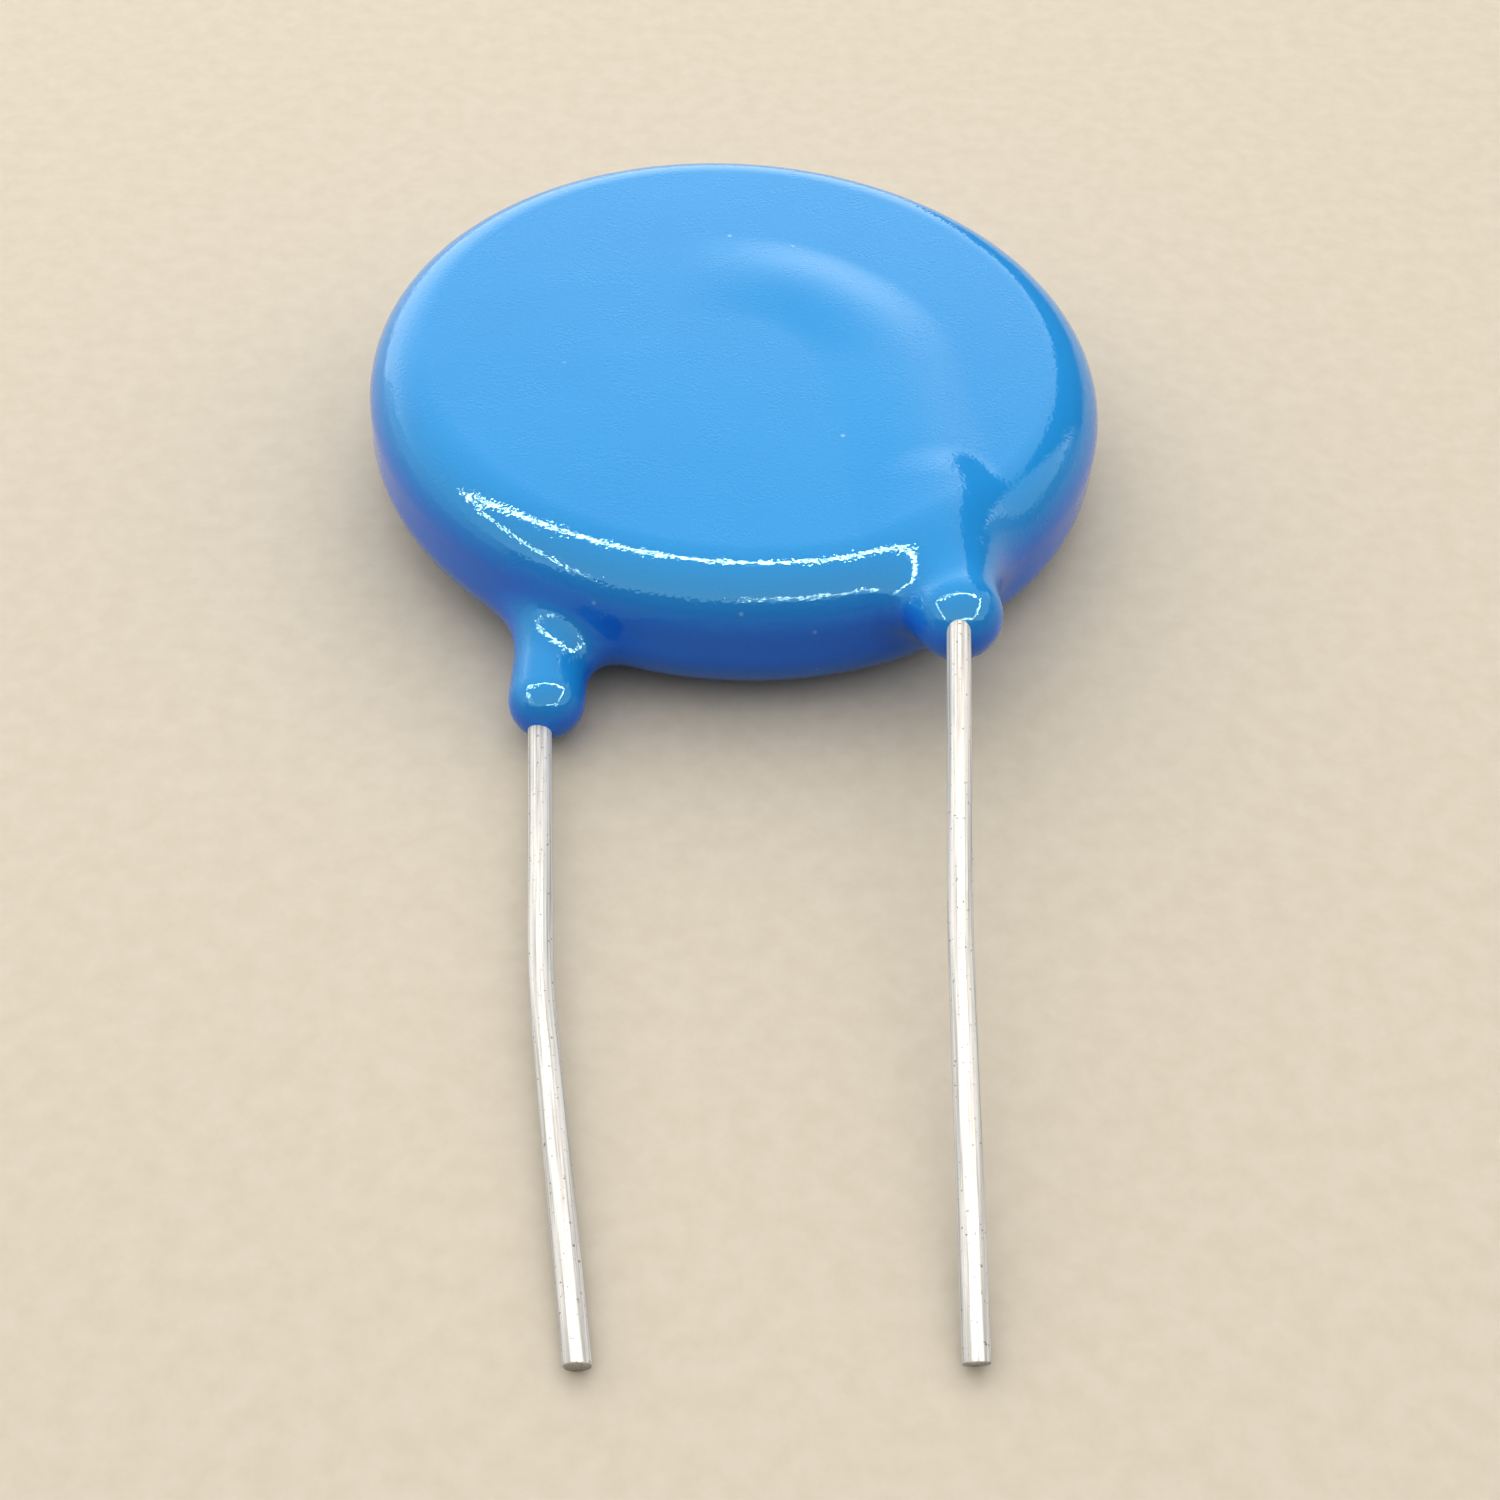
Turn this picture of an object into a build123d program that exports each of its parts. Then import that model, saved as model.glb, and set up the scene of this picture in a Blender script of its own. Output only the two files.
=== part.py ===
from build123d import *
import math
import os

# Disc varistor with two wires, lying on a flat surface as it comes to rest.
# Millimetres, Z up, wires towards -Y.
# The disc itself is built about its own centre: its faces look along Z and the upper wire is on the +X side.

# Ceramic disc and the silver fired on its faces
ceramic_diameter = 25.0
ceramic_thickness = 3.1
ceramic_edge_radius = 0.25
electrode_diameter = 22.6
electrode_thickness = 0.05

# Lead wires
lead_diameter = 0.8
lead_pitch = 14.0
lead_lean = 6.05
lead_end_radius = 0.06

# Hooked end of each wire, which is soldered to the electrode
hook_height = 4.15
hook_overrun = 1.2
hook_bend_radius = 5.6
hook_straight = 0.3

# Solder
solder_film = 0.05
solder_reach = 0.32
solder_run = 3.2

# Epoxy coating
face_coat = 1.15
edge_coat = 1.1
rim_radius = 2.24
hump_height = 0.36
hump_crown_radius = 2.7
hump_blend_radius = 2.4
hump_tail = 1.4
hump_sink = 0.2
hump_rim_gap = 0.5

# Legs, where the coating ran down the wires. The round end of a leg is set off from a point of its wire that
# projects past the rim: by the overhang along the wire, by the inset towards the middle, by the sink into the disc.
leg_projection = 1.6
leg_root_height = 0.27
upper_leg_radius = 1.52
upper_leg_inset = -0.12
upper_leg_sink = 0.35
upper_leg_overhang = -0.4
upper_leg_length = 1.7
upper_leg_taper = 2.4
upper_leg_root_radius = 1.25
upper_leg_blend_radius = 0.9
lower_leg_radius = 1.2
lower_leg_inset = 0.24
lower_leg_sink = 0.0
lower_leg_overhang = 0.25
lower_leg_length = 3.2
lower_leg_taper = 2.0
lower_leg_root_radius = 1.05
lower_leg_blend_radius = 1.2

# Wires as they lie: a bend hidden in the leg's end, one soft bend on the way, and the tip on the surface.
# Each side is measured outwards from the middle of the disc, each reach along -Y, each height from the surface.
leg_bend_depth = 0.9
leg_bend_radius = 2.0
soft_bend_radius = 40.0
upper_bend_side = 6.14
upper_bend_reach = 25.5
upper_bend_height = 2.85
upper_tip_side = 5.57
upper_tip_reach = 38.75
lower_bend_side = 6.56
lower_bend_reach = 26.0
lower_bend_height = 0.98
lower_tip_side = 5.17
lower_tip_reach = 38.65

# Sizes that follow from those above
lead_radius = lead_diameter / 2
ceramic_face = ceramic_thickness / 2
electrode_face = ceramic_face + electrode_thickness
lead_plane = electrode_face + solder_film + lead_radius
coat_face = electrode_face + face_coat
coat_radius = ceramic_diameter / 2 + edge_coat
leg_reach = coat_radius + leg_projection
hump_plane = coat_face + hump_height - hump_crown_radius
solder_radius = lead_radius + solder_reach

# Half a turn about Y carries the upper wire, its solder and its hump to the lower face
turned_over = Rot(0, 180, 0)


def hook_route():
    """Corners of the upper wire in plan, from its end on the electrode to the end of its leg."""
    turn = math.radians(90 - lead_lean)
    diagonal = 2 * hook_bend_radius * math.tan(turn / 4) + hook_straight
    outer_y = hook_height - diagonal * math.sin(turn / 2)
    outer_x = lead_pitch / 2 - (outer_y + leg_reach) * math.tan(math.radians(lead_lean))
    inner_x = outer_x - diagonal * math.cos(turn / 2)
    return [(-hook_overrun, hook_height), (inner_x, hook_height), (outer_x, outer_y), (lead_pitch / 2, -leg_reach)]


def along(start, end, distance):
    """Point at a distance from start towards end."""
    return start + (end - start).normalized() * distance


def across(route, share):
    """Plane across a route at a share of its length, with its own X downwards."""
    return Plane(origin=route @ share, x_dir=(0, 0, -1), z_dir=route % share)


def round_bar(route, radius):
    """Round bar of one radius along a route."""
    return sweep(across(route, 0) * Circle(radius), path=route)


def round_ended_bar(route, radius):
    """Round bar along a route, with a ball at each end."""
    ball = Sphere(radius)
    return round_bar(route, radius) + across(route, 0) * ball + across(route, 1) * ball


def ceramic():
    """Sintered disc with softened edges."""
    disc = Cylinder(ceramic_diameter / 2, ceramic_thickness)
    return fillet(disc.edges().filter_by(GeomType.CIRCLE), ceramic_edge_radius)


def electrode():
    """Silver layer on the upper face of the ceramic."""
    height = ceramic_face + electrode_thickness / 2
    return Pos(0, 0, height) * Cylinder(electrode_diameter / 2, electrode_thickness)


def solder_bead():
    """Solder on the upper face, before the wire is let in: a round-ended bead, flat where it wets the electrode."""
    end, inner, outer, leg = [Vector(x, y, lead_plane) for x, y in hook_route()]
    start = along(end, inner, -solder_reach / 2)
    stop = along(outer, leg, solder_run)
    route = FilletPolyline(start, inner, outer, stop, radius=hook_bend_radius)
    above_electrode = Pos(0, 0, electrode_face) * extrude(Circle(electrode_diameter / 2), coat_face)
    return round_ended_bar(route, solder_radius) & above_electrode


def dipped_body():
    """Blue skin round the disc alone: flat faces and a round rim."""
    outline = Rectangle(coat_radius, 2 * coat_face, align=(Align.MIN, Align.CENTER))
    rim_corners = outline.vertices().group_by(Axis.X)[-1]
    return revolve(Plane.XZ * fillet(rim_corners, rim_radius), Axis.Z)


def hump_rim_end():
    """Point over the upper wire where the hump ends, so that its ball end stays inside the rim."""
    outer, leg = [Vector(x, y, 0) for x, y in hook_route()[2:]]
    direction = (leg - outer).normalized()
    limit = coat_radius - hump_crown_radius - hump_rim_gap
    back = outer.dot(direction)
    return outer + direction * (math.sqrt(back**2 - outer.dot(outer) + limit**2) - back)


def hump():
    """Skin over the upper wire on the face: a broad low crown, which sinks into the face past the wire's end."""
    end, inner, outer, leg = [Vector(x, y, hump_plane) for x, y in hook_route()]
    sunk_end = Vector(end.X - hump_tail, end.Y, hump_plane - hump_sink)
    rim_end = hump_rim_end() + Vector(0, 0, hump_plane)
    route = FilletPolyline(sunk_end, inner, outer, rim_end, radius=hook_bend_radius)
    return round_ended_bar(route, hump_crown_radius)


def leg_end(overhang, inset, sink):
    """Middle of the round end of a leg on the upper wire."""
    outer, tip = [Vector(x, y, lead_plane) for x, y in hook_route()[2:]]
    return tip + (tip - outer).normalized() * overhang - Vector(inset, 0, sink)


def leg(start, radius, length, taper, root_radius):
    """Skin that ran down the upper wire: a round-ended drop that tapers to a root just proud of the face."""
    root = hump_rim_end() + Vector(0, 0, coat_face + leg_root_height - root_radius) - start
    end = CenterArc((radius, 0), radius, 180, -90)
    side = Line(end @ 1, (length, radius))
    middle = (length + taper / 2, (radius + root_radius) / 2)
    shoulder = TangentArc(side @ 1, middle, tangent=side % 1)
    neck = TangentArc(middle, (length + taper, root_radius), tangent=shoulder % 1)
    back = Polyline(neck @ 1, (root.length, root_radius), (root.length, 0), end @ 0)
    profile = make_face([end, side, shoulder, neck, back])
    return Plane(origin=start, x_dir=root, z_dir=(0, 0, 1)) * revolve(profile, Axis.X)


def blended(body, addition, blend_radius):
    """Join an addition to the body and blend it in all round."""
    joined = body + addition
    return joined.fillet(blend_radius, new_edges(body, addition, combined=joined))


def upper_leg():
    """Leg on the upper wire."""
    start = leg_end(upper_leg_overhang, upper_leg_inset, upper_leg_sink)
    return leg(start, upper_leg_radius, upper_leg_length, upper_leg_taper, upper_leg_root_radius)


def lower_leg_end():
    """Middle of the round end of the lower leg, as it would be on the upper wire."""
    return leg_end(lower_leg_overhang, lower_leg_inset, lower_leg_sink)


def lower_leg():
    """Leg on the lower wire."""
    profile = (lower_leg_radius, lower_leg_length, lower_leg_taper, lower_leg_root_radius)
    return turned_over * leg(lower_leg_end(), *profile)


def outer_form():
    """Outer form of the coating."""
    form = blended(dipped_body(), hump(), hump_blend_radius)
    form = blended(form, turned_over * hump(), hump_blend_radius)
    form = blended(form, upper_leg(), upper_leg_blend_radius)
    return blended(form, lower_leg(), lower_leg_blend_radius)


def resting_tilt():
    """Angle about Y of the disc, which lies on its lower leg and on the far side of its rim."""
    end = lower_leg_end()
    depth = end.Z + lower_leg_radius - coat_face
    return math.degrees(math.atan2(depth, end.X + coat_radius - rim_radius))


def wire(inside, bend, tip):
    """One wire: its hook and straight run inside the coat, then its bare run by a soft bend to its cut tip."""
    exit_direction = (inside[-1] - inside[-2]).normalized()
    corners = inside[:-1] + [inside[-1] - exit_direction * leg_bend_depth, bend, tip]
    radii = [hook_bend_radius, hook_bend_radius, leg_bend_radius, soft_bend_radius]
    bar = round_bar(FilletPolyline(corners, radius=radii), lead_radius)
    cut_ends = bar.edges().filter_by(GeomType.CIRCLE)
    return fillet(cut_ends, lead_end_radius)


def tip_on_surface(side, bend, tip_side, tip_reach):
    """Middle of a cut tip whose lowest edge touches the surface."""
    fall = math.atan2(bend.Z - lead_radius, tip_reach + bend.Y)
    return Vector(side * tip_side, -tip_reach, lead_radius * math.cos(fall))


def main():
    os.makedirs("parts", exist_ok=True)
    form = outer_form()
    tilted = Rot(0, resting_tilt(), 0)
    height = -(tilted * form).bounding_box().min.Z
    rest = Pos(0, 0, height) * tilted
    inside = [Vector(x, y, lead_plane) for x, y in hook_route()]
    upper_inside = [(rest * Pos(point)).position for point in inside]
    lower_inside = [(rest * turned_over * Pos(point)).position for point in inside]
    upper_bend = Vector(upper_bend_side, -upper_bend_reach, upper_bend_height)
    lower_bend = Vector(-lower_bend_side, -lower_bend_reach, lower_bend_height)
    upper_wire = wire(upper_inside, upper_bend, tip_on_surface(1, upper_bend, upper_tip_side, upper_tip_reach))
    lower_wire = wire(lower_inside, lower_bend, tip_on_surface(-1, lower_bend, lower_tip_side, lower_tip_reach))
    upside_down = rest * turned_over
    pieces = {
        "ceramic_disc": rest * ceramic(),
        "upper_electrode": rest * electrode(),
        "lower_electrode": upside_down * electrode(),
        "upper_lead": upper_wire,
        "lower_lead": lower_wire,
        "upper_solder": rest * solder_bead() - upper_wire,
        "lower_solder": upside_down * solder_bead() - lower_wire,
    }
    coating = rest * form
    for piece in pieces.values():
        coating = coating - piece
    pieces["epoxy_coating"] = coating
    box = Compound(list(pieces.values())).bounding_box()
    to_origin = Pos(-(box.min.X + box.max.X) / 2, -(box.min.Y + box.max.Y) / 2, -box.min.Z)
    for name, piece in pieces.items():
        export_step(to_origin * piece, f"parts/{name}.step")


main()
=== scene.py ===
import bpy
import math
import numpy as np
from collections import namedtuple
from mathutils import Matrix, Vector


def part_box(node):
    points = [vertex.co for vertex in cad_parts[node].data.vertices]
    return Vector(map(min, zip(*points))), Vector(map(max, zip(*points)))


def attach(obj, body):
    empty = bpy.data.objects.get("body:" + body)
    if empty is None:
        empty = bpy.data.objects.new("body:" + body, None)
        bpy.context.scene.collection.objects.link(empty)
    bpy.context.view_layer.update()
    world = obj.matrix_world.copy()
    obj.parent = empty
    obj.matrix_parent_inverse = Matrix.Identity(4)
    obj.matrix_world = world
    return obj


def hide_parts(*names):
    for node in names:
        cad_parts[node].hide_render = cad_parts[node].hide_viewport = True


# Disc varistor in glossy blue epoxy, lying on a pale surface under a frame of strip lights.
# Shapes are worked out in millimetres in the disc's own axes, then carried to the resting place in metres.

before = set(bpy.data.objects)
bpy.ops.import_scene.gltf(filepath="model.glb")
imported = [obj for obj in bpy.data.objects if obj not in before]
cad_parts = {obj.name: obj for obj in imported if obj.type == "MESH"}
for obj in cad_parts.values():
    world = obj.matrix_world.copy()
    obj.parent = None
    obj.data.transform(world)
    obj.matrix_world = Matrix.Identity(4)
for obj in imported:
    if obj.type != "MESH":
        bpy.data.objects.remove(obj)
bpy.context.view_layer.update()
MM = 0.001

# Wires inside the coat
LEAD_RADIUS = 0.4
LEAD_PLANE = 2.05
LEAD_PITCH = 14.0
LEAD_LEAN = math.radians(6.05)
HOOK_HEIGHT = 4.15
HOOK_OVERRUN = 1.2
HOOK_BEND_RADIUS = 5.6
HOOK_STRAIGHT = 0.3

# Wires beyond the disc: a bend hidden in the leg, one soft bend on the way, the tip on the surface
LEG_REACH = 15.2
LEG_BEND_DEPTH = 0.9
LEG_BEND_RADIUS = 2.0
SOFT_BEND_RADIUS = 40.0
UPPER_BEND = (6.14, -25.5, 2.85)
UPPER_TIP = (5.57, -38.75, 0.393)
LOWER_BEND = (-6.56, -26.0, 0.98)
LOWER_TIP = (-5.17, -38.65, 0.4)

# Skin of a wire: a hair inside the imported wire, with its cut end sheared askew. The rings that round off
# the cut are given by their share of the radius and their place along the wire.
WIRE_SKIN_SHARE = 0.999
WIRE_STEP = 0.25
WIRE_SIDES = 40
CUT_SLANT = 0.07
CUT_SHORT = 0.02
CUT_RINGS = ((1.0, -0.07), (0.985, -0.03), (0.93, 0.0), (0.6, 0.012))
SHEARED_ROWS = 2
UPPER_CUT_TURN = 1.2
LOWER_CUT_TURN = 2.1
WIRE_MAP = "along_wire"
WIRE_MAP_SCALE = 0.1

# Epoxy coat
COAT_RADIUS = 13.6
COAT_FACE = 2.75
RIM_RADIUS = 2.24

# Ridge that the coat has over each wire. It grows out of the face along its tail and fades out on the rim.
RIDGE_HEIGHT = 0.27
RIDGE_HALF_WIDTH = 2.8
RIDGE_TAIL_START = -3.0
RIDGE_TAIL = 7.5
RIDGE_END_RADIUS = 10.4
RIDGE_FADE_START = -0.4
RIDGE_FADE_DEPTH = 2.2

# Legs, where the coat ran down the wires. The round end of a leg is set off from the bend of its wire: by
# the overhang along the wire, by the inset towards the middle, by the sink into the disc. Past its length it
# tapers to its root, which is shifted outwards from the ridge's end and whose top stands at the root's
# height over the face. It blends into the disc over the blend's width.
Leg = namedtuple("Leg", "radius overhang inset sink length taper root_radius root_shift root_height blend")
UPPER_LEG = Leg(
    radius=1.52,
    overhang=-0.4,
    inset=-0.12,
    sink=0.35,
    length=1.7,
    taper=2.4,
    root_radius=1.6,
    root_shift=0.6,
    root_height=-0.32,
    blend=1.6,
)
LOWER_LEG = Leg(
    radius=1.3,
    overhang=0.45,
    inset=0.30,
    sink=0.11,
    length=3.2,
    taper=2.0,
    root_radius=1.15,
    root_shift=0.0,
    root_height=-0.45,
    blend=1.3,
)

# Packed lower leg, which the disc lies on
RESTING_OVERHANG = 0.25
RESTING_INSET = 0.24
RESTING_SINK = 0.0
RESTING_RADIUS = 1.2

# Mesh of the coat: the box that it is looked for in, and how fine and how well settled it is
SKIN_LOW = (-14.4, -16.9, -4.1)
SKIN_HIGH = (14.4, 14.4, 4.1)
SKIN_STEP = 0.2
SKIN_ROUNDS = 6
PULLS_IN_A_ROUND = 2
SLOPE_STEP = 0.02

# Room, in metres. Every light has two strengths: as it is mirrored, and as it lights matt surfaces. Those
# of the ceiling are stops along its depth, from the camera's side to the far side.
ROOM_COLOUR = (1.0, 0.99, 0.97)
FLOOR_CENTRE = (0, 0, 0)
FLOOR_HALF_SIDES = ((2.0, 0, 0), (0, 2.0, 0))
STRIP_COLOUR = (1.0, 0.82, 0.72)
STRIP_MIRRORED = 52.0
STRIP_SOFT = 0.7
STRIP_HEIGHT = 0.30
STRIP_HALF_WIDTH = 0.014
STRIP_LEFT = -0.44
STRIP_RIGHT = 0.345
STRIP_NEAR = -0.45
STRIP_FAR = 0.045
NEAR_STRIP_HALF_LENGTH = 0.16
CEILING_CENTRE = (0, 0.33, 0.36)
CEILING_HALF_SIDES = ((1.3, 0, 0), (0, 1.0, 0))
CEILING_MIRRORED = ((0.0, 3.3), (0.2, 2.3), (0.5, 1.5), (0.58, 1.75), (0.66, 2.1), (0.8, 2.5), (1.0, 2.5))
CEILING_SOFT = ((0.0, 0.3), (0.22, 0.9), (0.36, 1.55), (0.5, 1.9), (0.8, 1.9), (1.0, 1.4))
FAR_WALL_CENTRE = (-0.35, 1.25, 0.42)
FAR_WALL_HALF_SIDES = ((1.0, 0, 0), (0, 0, 0.42))
FAR_WALL_MIRRORED = 2.4
FAR_WALL_SOFT = 1.2
LEFT_WALL_CENTRE = (-1.3, 0.35, 0.3)
LEFT_WALL_HALF_SIDES = ((0, 0.9, 0), (0, 0, 0.3))
LEFT_WALL_MIRRORED = 1.3
LEFT_WALL_SOFT = 0.8
DARK_CARD_CORNERS = (
    (0.075, 0.312, 0.005),
    (0.25, 0.17, 0.005),
    (0.25, 0.17, 0.27),
    (0.2, 0.21, 0.25),
    (0.09, 0.30, 0.10),
)
WORLD_SOFT = 0.11
WORLD_SHOWN = 0.5

# Camera, with its place and target in millimetres and the nearest and furthest that it sees in metres
CAMERA_PLACE = (-2.902, -56.307, 56.132)
CAMERA_TARGET = (0.171, -2.701, 0.0)
CAMERA_ROLL = math.radians(2.135)
CAMERA_LENS = 54.69
CAMERA_SENSOR = 36.0
CAMERA_NEAREST = 0.005
CAMERA_FURTHEST = 10.0

# Resting place of the disc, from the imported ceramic
ceramic_low, ceramic_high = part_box("ceramic_disc")
DISC_CENTRE = np.array((ceramic_low + ceramic_high) / 2) / MM

# Half a turn about Y, which carries the upper wire, its ridge and its leg to the lower face
TURNED_OVER = np.array([-1, 1, -1])


# Routes of the wires

def hook_route():
    """Corners of the upper wire in plan, from its end over the ceramic to where it leaves the coat."""
    turn = math.pi / 2 - LEAD_LEAN
    diagonal = 2 * HOOK_BEND_RADIUS * math.tan(turn / 4) + HOOK_STRAIGHT
    outer_y = HOOK_HEIGHT - diagonal * math.sin(turn / 2)
    outer_x = LEAD_PITCH / 2 - (outer_y + LEG_REACH) * math.tan(LEAD_LEAN)
    inner_x = outer_x - diagonal * math.cos(turn / 2)
    end = (-HOOK_OVERRUN, HOOK_HEIGHT)
    inner = (inner_x, HOOK_HEIGHT)
    outer = (outer_x, outer_y)
    leg = (LEAD_PITCH / 2, -LEG_REACH)
    return np.array([end, inner, outer, leg])


def unit(vector):
    """Direction of a vector."""
    return vector / np.linalg.norm(vector)


def corner_arc(before, corner, after, radius):
    """Centre, start and end of the arc that rounds one corner of a route."""
    a = unit(before - corner)
    b = unit(after - corner)
    half = math.acos(float(np.clip(a @ b, -1, 1))) / 2
    reach = radius / math.tan(half)
    return corner + unit(a + b) * (radius / math.sin(half)), corner + a * reach, corner + b * reach


def straight_points(start, end, step):
    """Points after start up to end."""
    count = max(1, int(np.linalg.norm(end - start) / step))
    return [start + (end - start) * t for t in np.linspace(0, 1, count + 1)[1:]]


def rounded_route(corners, radii, step):
    """Points along a route with rounded corners, about a step apart."""
    points = [corners[0]]
    for i, radius in enumerate(radii, start=1):
        centre, start, end = corner_arc(corners[i - 1], corners[i], corners[i + 1], radius)
        u = (start - centre) / radius
        v = (end - centre) / radius
        angle = math.acos(float(np.clip(u @ v, -1, 1)))
        w = unit(v - u * (u @ v))
        count = max(2, int(radius * angle / step) + 1)
        points += straight_points(points[-1], start, step)
        for t in np.linspace(0, angle, count + 1)[1:]:
            points.append(centre + radius * (math.cos(t) * u + math.sin(t) * w))
    points += straight_points(points[-1], corners[-1], step)
    return np.array(points)


ROUTE = hook_route()
OUTWARDS = unit(ROUTE[3] - ROUTE[2])


def leg_end(overhang, inset, sink):
    """Middle of the round end of a leg on the upper wire."""
    return np.append(ROUTE[3] + OUTWARDS * overhang, LEAD_PLANE) - np.array([inset, 0, sink])


# The disc lies on its lower leg and on the opposite side of its rim
LOWEST = leg_end(RESTING_OVERHANG, RESTING_INSET, RESTING_SINK)
DISC_TILT = math.atan2(LOWEST[2] + RESTING_RADIUS - COAT_FACE, LOWEST[0] + COAT_RADIUS - RIM_RADIUS)
REST = np.array(Matrix.Rotation(DISC_TILT, 3, "Y"))


def at_rest(points):
    """Disc axes to resting place, in millimetres."""
    return points @ REST.T + DISC_CENTRE


# Form of the coat, as distances from its surface, negative inside

def ease(t):
    """Smooth step from 0 to 1."""
    t = np.clip(t, 0, 1)
    return t * t * (3 - 2 * t)


def merge(a, b, width):
    """Soft union of two distance fields."""
    h = np.clip(0.5 + 0.5 * (b - a) / width, 0, 1)
    return b * (1 - h) + a * h - width * h * (1 - h)


def segment_distance(p, a, b):
    """Distance in plan from points to one straight run."""
    run = b - a
    share = np.clip(((p - a) @ run) / (run @ run), 0, 1)
    return np.linalg.norm(p - a - share[:, None] * run, axis=1)


def arc_distance(p, centre, start, end, radius):
    """Distance in plan from points to one arc, and far away beside its two ends."""
    out = p - centre
    middle = unit((start + end) / 2 - centre)
    reach = np.linalg.norm(out, axis=1)
    limit = (start - centre) @ middle / radius
    beside = out @ middle < limit * reach
    return np.where(beside, 1e3, np.abs(reach - radius))


RIDGE_START = np.array([RIDGE_TAIL_START, HOOK_HEIGHT])
INNER_ARC = corner_arc(RIDGE_START, ROUTE[1], ROUTE[2], HOOK_BEND_RADIUS)
OUTER_ARC = corner_arc(ROUTE[1], ROUTE[2], ROUTE[3], HOOK_BEND_RADIUS)


def ridge(p):
    """Height of the skin raised over the upper wire, from plan position."""
    d = segment_distance(p, RIDGE_START, INNER_ARC[1])
    d = np.minimum(d, arc_distance(p, *INNER_ARC, HOOK_BEND_RADIUS))
    d = np.minimum(d, segment_distance(p, INNER_ARC[2], OUTER_ARC[1]))
    d = np.minimum(d, arc_distance(p, *OUTER_ARC, HOOK_BEND_RADIUS))
    d = np.minimum(d, segment_distance(p, OUTER_ARC[2], ROUTE[3]))
    u = np.clip(d / RIDGE_HALF_WIDTH, 0, 1)
    grow = ease((p[:, 0] - RIDGE_TAIL_START) / RIDGE_TAIL)
    return RIDGE_HEIGHT * (1 - u**2) ** 2 * grow


def raised(p):
    """Height of the ridge on the disc, faded out on the rim."""
    return ridge(p[:, :2]) * ease((p[:, 2] - RIDGE_FADE_START) / RIDGE_FADE_DEPTH)


def ridge_end():
    """Point in plan over the upper wire where its leg begins."""
    back = ROUTE[2] @ OUTWARDS
    return ROUTE[2] + OUTWARDS * (math.sqrt(back**2 - ROUTE[2] @ ROUTE[2] + RIDGE_END_RADIUS**2) - back)


def disc_distance(p):
    """Distance to the coated disc alone: flat faces, round rim."""
    out = np.hypot(p[:, 0], p[:, 1]) - (COAT_RADIUS - RIM_RADIUS)
    up = np.abs(p[:, 2]) - (COAT_FACE - RIM_RADIUS)
    q = np.stack([out, up], 1)
    return np.linalg.norm(np.maximum(q, 0), axis=1) + np.minimum(q.max(1), 0) - RIM_RADIUS


def leg_distance(p, leg):
    """Distance to the drop that hangs round the upper wire, from its round end to its root in the ridge."""
    start = leg_end(leg.overhang, leg.inset, leg.sink)
    middle = COAT_FACE + leg.root_height - leg.root_radius
    root = np.append(ridge_end(), middle) + np.array([leg.root_shift, 0, 0]) - start
    reach = np.linalg.norm(root)
    axis = root / reach
    t = np.clip((p - start) @ axis, leg.radius, reach)
    size = leg.radius + (leg.root_radius - leg.radius) * ease((t - leg.length) / leg.taper)
    return np.linalg.norm(p - start - t[:, None] * axis, axis=1) - size


def coat_distance(p):
    """Distance to the whole coat."""
    other = p * TURNED_OVER
    body = disc_distance(p) - raised(p) - raised(other)
    body = merge(body, leg_distance(p, UPPER_LEG), UPPER_LEG.blend)
    return merge(body, leg_distance(other, LOWER_LEG), LOWER_LEG.blend)


def slope(p):
    """Direction in which the coat's distance grows."""
    out = np.zeros_like(p)
    for axis in range(3):
        shift = np.zeros(3)
        shift[axis] = SLOPE_STEP
        out[:, axis] = (coat_distance(p + shift) - coat_distance(p - shift)) / (2 * SLOPE_STEP)
    return out


# Mesh of the coat

def skin_cells(low, high, step):
    """Middles of the cells that the coat's surface passes through, and the quads that join them."""
    counts = [int((b - a) / step) + 1 for a, b in zip(low, high)]
    axes = [a + step * np.arange(n) for a, n in zip(low, counts)]
    grid = np.stack(np.meshgrid(*axes, indexing="ij"), -1).reshape(-1, 3)
    inside = (coat_distance(grid) < 0).reshape(counts)
    total = np.zeros([n - 1 for n in counts], int)
    for i in (0, 1):
        for j in (0, 1):
            for k in (0, 1):
                total += inside[i:counts[0] - 1 + i, j:counts[1] - 1 + j, k:counts[2] - 1 + k]
    active = (total > 0) & (total < 8)
    number = -np.ones(active.shape, int)
    number[active] = np.arange(active.sum())
    points = np.array(low) + (np.argwhere(active) + 0.5) * step
    return points, np.concatenate([quads_across(axis, inside, number) for axis in range(3)])


def quads_across(axis, inside, number):
    """Quads of the four cells round every grid edge along one axis that the surface cuts."""
    counts = inside.shape
    b = (axis + 1) % 3
    c = (axis + 2) % 3
    first = [slice(None)] * 3
    second = [slice(None)] * 3
    first[axis] = slice(0, -1)
    second[axis] = slice(1, None)
    start_in = inside[tuple(first)]
    crossing = np.argwhere(start_in != inside[tuple(second)])
    crossing = crossing[(crossing[:, b] > 0) & (crossing[:, c] > 0)]
    crossing = crossing[(crossing[:, b] < counts[b] - 1) & (crossing[:, c] < counts[c] - 1)]
    outward = start_in[tuple(crossing.T)]
    ring = []
    for back_b, back_c in ((1, 1), (0, 1), (0, 0), (1, 0)):
        cell = crossing.copy()
        cell[:, b] -= back_b
        cell[:, c] -= back_c
        ring.append(number[tuple(cell.T)])
    ring = np.stack(ring, 1)
    ring[~outward] = ring[~outward][:, ::-1]
    return ring


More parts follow.
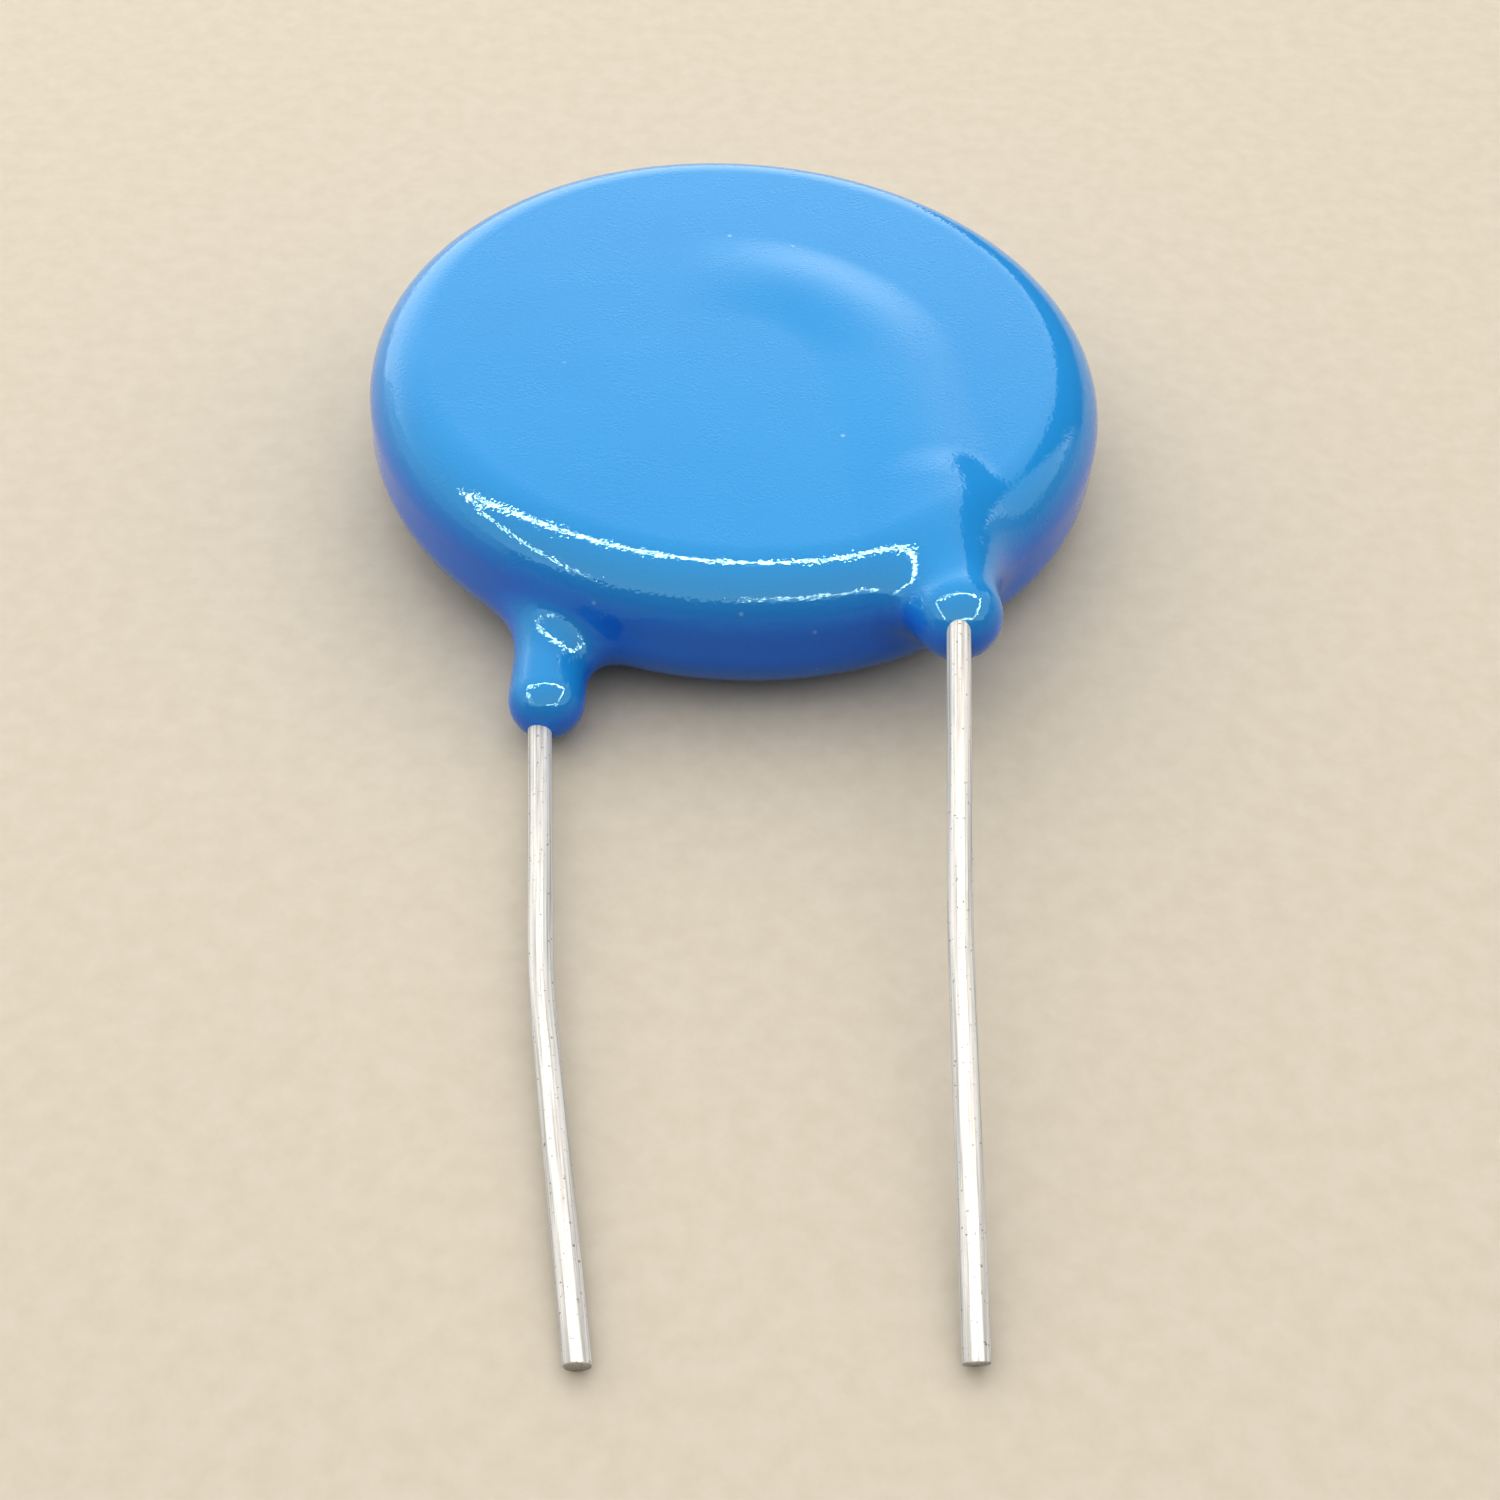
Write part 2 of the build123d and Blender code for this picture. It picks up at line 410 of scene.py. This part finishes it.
def settle(points, quads, rounds):
    """Points spread evenly over the coat's surface, and the outward direction at each."""
    sides = np.concatenate([quads[:, [0, 1]], quads[:, [1, 2]], quads[:, [2, 3]], quads[:, [3, 0]]])
    start, end = sides.T
    neighbours = np.bincount(start, minlength=len(points)) + np.bincount(end, minlength=len(points))
    for _ in range(rounds):
        total = np.zeros_like(points)
        for axis in range(3):
            total[:, axis] += np.bincount(start, points[end, axis], len(points))
            total[:, axis] += np.bincount(end, points[start, axis], len(points))
        points = 0.5 * points + 0.5 * total / neighbours[:, None]
        for _ in range(PULLS_IN_A_ROUND):
            rise = slope(points)
            points = points - coat_distance(points)[:, None] * rise / (rise**2).sum(1)[:, None]
    rise = slope(points)
    return points, rise / np.linalg.norm(rise, axis=1)[:, None]


# Pieces

def new_object(name, points, faces, material, replaced):
    """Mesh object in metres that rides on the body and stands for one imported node."""
    mesh = bpy.data.meshes.new(name)
    mesh.from_pydata((points * MM).tolist(), [], faces)
    mesh.update()
    made = bpy.data.objects.new(name, mesh)
    bpy.context.scene.collection.objects.link(made)
    mesh.polygons.foreach_set("use_smooth", [True] * len(mesh.polygons))
    mesh.materials.append(material)
    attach(made, "root")
    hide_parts(replaced)
    return made


def coating_skin(material):
    """Outer skin of the epoxy coat."""
    step = SKIN_STEP
    points, quads = skin_cells(SKIN_LOW, SKIN_HIGH, step)
    points, normals = settle(points, quads, SKIN_ROUNDS)
    faces = quads.tolist()
    made = new_object("coating_skin", at_rest(points), faces, material, "epoxy_coating")
    made.data.normals_split_custom_set_from_vertices((normals @ REST.T).tolist())


def wire_route(over, bend, tip):
    """Middle line of one whole wire at its resting place."""
    inside = np.column_stack([ROUTE, np.full(len(ROUTE), LEAD_PLANE)])
    if not over:
        inside = inside * TURNED_OVER
    inside = at_rest(inside)
    inside[-1] = inside[-1] - unit(inside[-1] - inside[-2]) * LEG_BEND_DEPTH
    shift = np.array([0, DISC_CENTRE[1], 0])
    corners = list(inside) + [np.array(bend) + shift, np.array(tip) + shift]
    radii = (HOOK_BEND_RADIUS, HOOK_BEND_RADIUS, LEG_BEND_RADIUS, SOFT_BEND_RADIUS)
    return rounded_route(corners, radii, WIRE_STEP)


def wire_rings(path, cut_turn):
    """Points in rings round a wire's middle line and its sheared end, and the place of each ring along it."""
    along = np.gradient(path, axis=0)
    along = along / np.linalg.norm(along, axis=1)[:, None]
    side = np.cross(along[0], (0, 0, 1.0))
    angles = np.arange(WIRE_SIDES) * 2 * math.pi / WIRE_SIDES
    places = [0.0, *np.cumsum(np.linalg.norm(np.diff(path, axis=0), axis=1))]
    rings = []
    for middle, ahead in zip(path, along):
        side = unit(side - ahead * (side @ ahead))
        ring = np.outer(np.cos(angles), side) + np.outer(np.sin(angles), np.cross(side, ahead))
        rings.append(middle + ring * LEAD_RADIUS * WIRE_SKIN_SHARE)

    # The last ring gives way to those of the sheared end
    shear = CUT_SLANT * (np.cos(angles - cut_turn) - 1) - CUT_SHORT
    rim = rings.pop() + np.outer(shear, along[-1])
    length = places.pop()
    for share, forward in CUT_RINGS:
        rings.append(rim + forward * along[-1] - (1 - share) * LEAD_RADIUS * ring)
        places.append(length + forward)
    return np.concatenate(rings), places


def wire(name, over, bend, tip, cut_turn, materials, replaced):
    """Round tinned wire along its route, with a sheared end."""
    points, places = wire_rings(wire_route(over, bend, tip), cut_turn)
    faces = []
    for first in range(0, len(points) - WIRE_SIDES, WIRE_SIDES):
        second = first + WIRE_SIDES
        for j in range(WIRE_SIDES):
            k = (j + 1) % WIRE_SIDES
            faces.append((first + j, first + k, second + k, second + j))
    cap = len(faces)
    faces.append(tuple(range(len(points) - WIRE_SIDES, len(points))))
    faces.append(tuple(reversed(range(WIRE_SIDES))))
    made = new_object(name, points, faces, materials[0], replaced)
    made.data.materials.append(materials[1])
    for face in made.data.polygons[cap - SHEARED_ROWS * WIRE_SIDES:cap + 1]:
        face.material_index = 1
    layer = made.data.uv_layers.new(name=WIRE_MAP)
    for face in made.data.polygons:
        closes_ring = face.vertices[0] % WIRE_SIDES == WIRE_SIDES - 1
        for corner, vertex in zip(face.loop_indices, face.vertices):
            row, column = divmod(vertex, WIRE_SIDES)
            turn = WIRE_SIDES if closes_ring and column == 0 else column
            layer.data[corner].uv = (turn / WIRE_SIDES, places[row] * WIRE_MAP_SCALE)


# Nodes of a material

def feed(tree, node, inputs):
    """Set inputs of a node, or link them where the output of another node is given."""
    for key, value in inputs.items():
        if isinstance(value, bpy.types.NodeSocket):
            tree.links.new(value, node.inputs[key])
        else:
            node.inputs[key].default_value = value


def add_node(tree, kind, inputs, **settings):
    """New node with its settings and its inputs."""
    made = tree.nodes.new("ShaderNode" + kind)
    for key, value in settings.items():
        setattr(made, key, value)
    feed(tree, made, inputs)
    return made


def place_in_mm(tree, place):
    """Place on the piece in millimetres."""
    inputs = {0: place.outputs["Object"], "Scale": 1 / MM}
    return add_node(tree, "VectorMath", inputs, operation="SCALE").outputs[0]


def noise(tree, place, scale, detail, roughness=0.5):
    """Soft noise from 0 to 1."""
    inputs = {"Vector": place, "Scale": scale, "Detail": detail, "Roughness": roughness}
    return add_node(tree, "TexNoise", inputs).outputs["Fac"]


def two_tones(tree, value, first, second, start, end):
    """First colour up to one value, second colour from another, and a ramp between them."""
    ramp = add_node(tree, "ValToRGB", {"Fac": value})
    for element, colour, position in zip(ramp.color_ramp.elements, (first, second), (start, end)):
        element.position = position
        element.color = (*colour, 1)
    return ramp.outputs["Color"]


def arithmetic(tree, operation, *values):
    """Product, difference or the like of numbers and outputs."""
    return add_node(tree, "Math", dict(enumerate(values)), operation=operation).outputs[0]


def carried(tree, value, before=(0.0, 1.0), after=(0.0, 1.0), interpolation="LINEAR"):
    """Value carried over from one range to another."""
    inputs = {
        "Value": value,
        "From Min": before[0],
        "From Max": before[1],
        "To Min": after[0],
        "To Max": after[1],
    }
    return add_node(tree, "MapRange", inputs, interpolation_type=interpolation).outputs[0]


def mixed(tree, share, first, second, blend="MIX"):
    """Two colours mixed by a share, or multiplied."""
    inputs = {0: share, 6: first, 7: second}
    return add_node(tree, "Mix", inputs, data_type="RGBA", blend_type=blend).outputs[2]


def bump(tree, height, distance, strength=1.0, over=None):
    """Surface that a height of 1 raises by a distance in millimetres, over another bump if there is one."""
    inputs = {"Height": height, "Distance": distance * MM, "Strength": strength}
    if over is not None:
        inputs["Normal"] = over
    return add_node(tree, "Bump", inputs).outputs[0]


def shown_rays(tree):
    """1 for what the camera sees, also mirrored or through something, and 0 for soft light."""
    rays = add_node(tree, "LightPath", {}).outputs
    seen = arithmetic(tree, "MAXIMUM", rays["Is Camera Ray"], rays["Is Glossy Ray"])
    return arithmetic(tree, "MAXIMUM", seen, rays["Is Transmission Ray"])


def new_material(name):
    """Material, its nodes and its shader."""
    made = bpy.data.materials.new(name)
    made.use_nodes = True
    return made, made.node_tree, made.node_tree.nodes["Principled BSDF"]


# Materials, with their patterns scaled by the millimetre

def blue_epoxy():
    """Dipped epoxy: glossy blue, softly uneven, with painted shade that deepens the blue on sloping sides,
    with a few pale flecks.
    """
    made, tree, shader = new_material("blue_epoxy")
    place = add_node(tree, "TexCoord", {})
    mm = place_in_mm(tree, place)

    # Blue of the faces, and painted shade: a deeper blue mixed in where the coat slopes away from flat, as if
    # its sides got less light
    drift = noise(tree, mm, scale=0.16, detail=2.0)
    face = two_tones(tree, drift, (0.012, 0.268, 0.69), (0.014, 0.282, 0.71), start=0.3, end=0.7)
    # Painted shade: the flatter the surface, the less of the deeper blue, so sloping sides are coloured as if
    # lying in shade
    facing = add_node(tree, "SeparateXYZ", {0: place.outputs["Normal"]})
    flatness = arithmetic(tree, "ABSOLUTE", facing.outputs[2])
    painted_side_shade = carried(tree, flatness, before=(0.7, 0.0), interpolation="SMOOTHSTEP")
    # The deeper blue mixed in here is painted side shade, not a colour that the coat has
    blue = mixed(tree, painted_side_shade, face, (0.011, 0.185, 0.80, 1))

    # Flecks in the middle of one cell in five
    cells = add_node(tree, "TexVoronoi", {"Vector": mm, "Scale": 0.8, "Randomness": 1.0})
    chosen = add_node(tree, "SeparateColor", {0: cells.outputs["Color"]})
    rare = arithmetic(tree, "GREATER_THAN", chosen.outputs[0], 0.8)
    near = carried(tree, cells.outputs["Distance"], before=(0.09, 0.04))
    fleck = arithmetic(tree, "MULTIPLY", near, rare)
    faint = arithmetic(tree, "MULTIPLY", fleck, 0.5)
    colour = mixed(tree, faint, blue, (0.35, 0.62, 0.9, 1))

    # Broad swells, a fine peel that is stronger in patches, and the flecks as pimples
    haze = noise(tree, mm, scale=0.9, detail=4.0, roughness=0.6)
    swell = noise(tree, mm, scale=0.45, detail=1.0)
    peel = noise(tree, mm, scale=9.0, detail=0.0)
    patches = carried(tree, haze, before=(0.42, 0.62), after=(0.35, 1.0), interpolation="SMOOTHSTEP")
    sand = arithmetic(tree, "MULTIPLY", arithmetic(tree, "SUBTRACT", peel, 0.5), patches)
    swollen = bump(tree, swell, distance=0.009)
    peeled = bump(tree, sand, distance=0.0105, over=swollen)

    feed(tree, shader, {
        "Base Color": colour,
        "Roughness": carried(tree, haze, after=(0.05, 0.10)),
        "Normal": bump(tree, fleck, distance=0.01, over=peeled),
        "IOR": 1.53,
        "Specular Tint": (0.45, 0.95, 1.0, 1),
        "Subsurface Weight": 0.06,
        "Subsurface Radius": (0.0001, 0.0003, 0.0006),
        "Subsurface Scale": 1.0,
    })
    return made


def tinned_wire():
    """Dull tinned copper: pale metal with lengthwise drawing streaks and a few dark specks."""
    made, tree, shader = new_material("tinned_wire")
    wire_map = add_node(tree, "UVMap", {}, uv_map=WIRE_MAP)
    stretched = add_node(tree, "Mapping", {"Vector": wire_map.outputs[0], "Scale": (26.0, 1.4, 1.0)})
    mm = place_in_mm(tree, add_node(tree, "TexCoord", {}))
    streaks = noise(tree, stretched.outputs[0], scale=1.0, detail=5.0, roughness=0.65)
    cloud = noise(tree, mm, scale=0.9, detail=4.0, roughness=0.6)
    grain = noise(tree, mm, scale=7.0, detail=3.0, roughness=0.6)
    tone = two_tones(tree, streaks, (0.40, 0.395, 0.375), (0.85, 0.835, 0.785), start=0.36, end=0.57)
    speck = carried(tree, grain, before=(0.30, 0.36), after=(0.25, 1.0))
    lines = bump(tree, streaks, distance=0.01, strength=0.6)
    feed(tree, shader, {
        "Base Color": mixed(tree, 1.0, tone, speck, "MULTIPLY"),
        "Roughness": carried(tree, cloud, after=(0.34, 0.60)),
        "Normal": bump(tree, grain, distance=0.01, strength=0.5, over=lines),
        "Metallic": 0.25,
    })
    return made


def plain_grain(name, tones, metallic, roughness, scale):
    """Finish with a fine even grain between two tones."""
    made, tree, shader = new_material(name)
    mm = place_in_mm(tree, add_node(tree, "TexCoord", {}))
    grain = noise(tree, mm, scale=scale, detail=4.0, roughness=0.6)
    feed(tree, shader, {
        "Base Color": two_tones(tree, grain, *tones, start=0.35, end=0.65),
        "Roughness": carried(tree, grain, after=(roughness - 0.08, roughness + 0.08)),
        "Normal": bump(tree, grain, distance=0.01, strength=0.5),
        "Metallic": metallic,
    })
    return made


def cut_wire():
    """Grey sheared end of a wire."""
    tones = ((0.30, 0.28, 0.25), (0.50, 0.47, 0.42))
    return plain_grain("cut_wire", tones, metallic=0.8, roughness=0.5, scale=12.0)


def zinc_oxide():
    """Dark sintered ceramic."""
    tones = ((0.10, 0.11, 0.11), (0.17, 0.18, 0.18))
    return plain_grain("zinc_oxide", tones, metallic=0.0, roughness=0.75, scale=3.0)


def fired_silver():
    """Matt silver layer."""
    tones = ((0.68, 0.68, 0.66), (0.82, 0.82, 0.80))
    return plain_grain("fired_silver", tones, metallic=0.9, roughness=0.45, scale=4.0)


def solder():
    """Grey solder."""
    tones = ((0.48, 0.49, 0.49), (0.64, 0.65, 0.65))
    return plain_grain("solder", tones, metallic=0.95, roughness=0.35, scale=2.0)


def dark_card():
    """Dark card that the rim mirrors."""
    tones = ((0.20, 0.20, 0.21), (0.25, 0.25, 0.26))
    return plain_grain("dark_card", tones, metallic=0.0, roughness=0.9, scale=0.2)


def pale_card():
    """Pale card as seen and as mirrored; the soft light that it throws back is deeper and cooler."""
    tones = ((0.60, 0.535, 0.425), (0.64, 0.575, 0.465))
    made = plain_grain("pale_card", tones, metallic=0.0, roughness=0.8, scale=1.1)
    tree = made.node_tree
    shader = tree.nodes["Principled BSDF"]
    pale = shader.inputs["Base Color"].links[0].from_socket
    feed(tree, shader, {"Base Color": mixed(tree, shown_rays(tree), (0.05, 0.08, 0.20, 1), pale)})
    return made


# Lights

def even(strength):
    """One strength along the whole of a light source."""
    return ((0.0, strength), (1.0, strength))


def strength_along(tree, place, stops):
    """Strength that follows a place by a smooth curve through its stops."""
    strongest = max(strength for share, strength in stops)
    course = add_node(tree, "FloatCurve", {"Value": place})
    curve = course.mapping.curves[0]
    for point, (share, strength) in zip(curve.points, (stops[0], stops[-1])):
        point.location = (share, strength / strongest)
    for share, strength in stops[1:-1]:
        curve.points.new(share, strength / strongest)
    course.mapping.update()
    return arithmetic(tree, "MULTIPLY", course.outputs[0], strongest)


def glow(name, colour, mirrored, soft):
    """Light source with two strengths, each given as stops along its depth: how it is mirrored, and how it
    lights matt surfaces."""
    made = bpy.data.materials.new(name)
    made.use_nodes = True
    tree = made.node_tree
    tree.nodes.clear()
    place = add_node(tree, "TexCoord", {})
    depth = add_node(tree, "SeparateXYZ", {0: place.outputs["Generated"]}).outputs[1]
    glossy = add_node(tree, "LightPath", {}).outputs["Is Glossy Ray"]
    either = {0: glossy, 2: strength_along(tree, depth, soft), 3: strength_along(tree, depth, mirrored)}
    strength = add_node(tree, "Mix", either).outputs[0]
    light = add_node(tree, "Emission", {"Color": (*colour, 1), "Strength": strength})
    add_node(tree, "OutputMaterial", {"Surface": light.outputs[0]})
    return made


def panel(name, corners, material):
    """Flat panel given by its corners."""
    mesh = bpy.data.meshes.new(name)
    mesh.from_pydata([tuple(v) for v in corners], [], [tuple(range(len(corners)))])
    mesh.materials.append(material)
    made = bpy.data.objects.new(name, mesh)
    bpy.context.scene.collection.objects.link(made)


def flat_panel(name, centre, across, up, material):
    """Rectangle given by its middle and its two half sides."""
    c, a, b = [np.array(v, float) for v in (centre, across, up)]
    panel(name, (c - a - b, c + a - b, c + a + b, c - a + b), material)


# The scene

def varistor():
    """Skins of the coat and the wires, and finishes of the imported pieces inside."""
    coating_skin(blue_epoxy())
    metals = (tinned_wire(), cut_wire())
    wire("upper_wire", True, UPPER_BEND, UPPER_TIP, UPPER_CUT_TURN, metals, "upper_lead")
    wire("lower_wire", False, LOWER_BEND, LOWER_TIP, LOWER_CUT_TURN, metals, "lower_lead")
    inner = {
        "ceramic_disc": zinc_oxide(),
        "upper_electrode": fired_silver(),
        "upper_solder": solder(),
    }
    inner["lower_electrode"] = inner["upper_electrode"]
    inner["lower_solder"] = inner["upper_solder"]
    for node, material in inner.items():
        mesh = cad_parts[node].data
        mesh.materials.clear()
        mesh.materials.append(material)


def strip_lights():
    """Strip lights in a frame whose near side is lit only at its right end."""
    material = glow("strip", STRIP_COLOUR, even(STRIP_MIRRORED), even(STRIP_SOFT))
    middle_x = (STRIP_LEFT + STRIP_RIGHT) / 2
    middle_y = (STRIP_NEAR + STRIP_FAR) / 2
    half_x = (STRIP_RIGHT - STRIP_LEFT) / 2
    half_y = (STRIP_FAR - STRIP_NEAR) / 2
    near_x = STRIP_RIGHT - NEAR_STRIP_HALF_LENGTH
    strips = {
        "strip_near": (near_x, STRIP_NEAR, NEAR_STRIP_HALF_LENGTH, STRIP_HALF_WIDTH),
        "strip_far": (middle_x, STRIP_FAR, half_x, STRIP_HALF_WIDTH),
        "strip_left": (STRIP_LEFT, middle_y, STRIP_HALF_WIDTH, half_y),
        "strip_right": (STRIP_RIGHT, middle_y, STRIP_HALF_WIDTH, half_y),
    }
    for name, (x, y, half_width, half_depth) in strips.items():
        flat_panel(name, (x, y, STRIP_HEIGHT), (half_width, 0, 0), (0, half_depth, 0), material)


def room():
    """Pale surface under the strip lights and a bright ceiling that ends short of the camera's side, with
    pale walls beyond and on the left, and a dark card on the right that the rim mirrors."""
    flat_panel("floor", FLOOR_CENTRE, *FLOOR_HALF_SIDES, pale_card())
    strip_lights()
    ceiling = glow("ceiling", ROOM_COLOUR, CEILING_MIRRORED, CEILING_SOFT)
    flat_panel("ceiling", CEILING_CENTRE, *CEILING_HALF_SIDES, ceiling)
    far_wall = glow("far_wall", ROOM_COLOUR, even(FAR_WALL_MIRRORED), even(FAR_WALL_SOFT))
    flat_panel("far_wall", FAR_WALL_CENTRE, *FAR_WALL_HALF_SIDES, far_wall)
    left_wall = glow("left_wall", ROOM_COLOUR, even(LEFT_WALL_MIRRORED), even(LEFT_WALL_SOFT))
    flat_panel("left_wall", LEFT_WALL_CENTRE, *LEFT_WALL_HALF_SIDES, left_wall)
    panel("flag", DARK_CARD_CORNERS, dark_card())
    world = bpy.data.worlds.new("soft_room")
    bpy.context.scene.world = world
    world.use_nodes = True
    tree = world.node_tree
    strength = carried(tree, shown_rays(tree), after=(WORLD_SOFT, WORLD_SHOWN))
    feed(tree, tree.nodes["Background"], {"Color": (*ROOM_COLOUR, 1), "Strength": strength})


def camera():
    """Camera at the photograph's viewing angle."""
    data = bpy.data.cameras.new("camera")
    data.sensor_width = CAMERA_SENSOR
    data.lens = CAMERA_LENS
    data.clip_start = CAMERA_NEAREST
    data.clip_end = CAMERA_FURTHEST
    made = bpy.data.objects.new("camera", data)
    bpy.context.scene.collection.objects.link(made)
    place = Vector(CAMERA_PLACE) * MM
    target = Vector(CAMERA_TARGET) * MM
    turn = (target - place).to_track_quat("-Z", "Y").to_matrix()
    made.matrix_world = Matrix.Translation(place) @ (turn @ Matrix.Rotation(CAMERA_ROLL, 3, "Z")).to_4x4()
    bpy.context.scene.camera = made
    bpy.context.scene.view_settings.view_transform = "Standard"


def main():
    varistor()
    room()
    camera()


main()
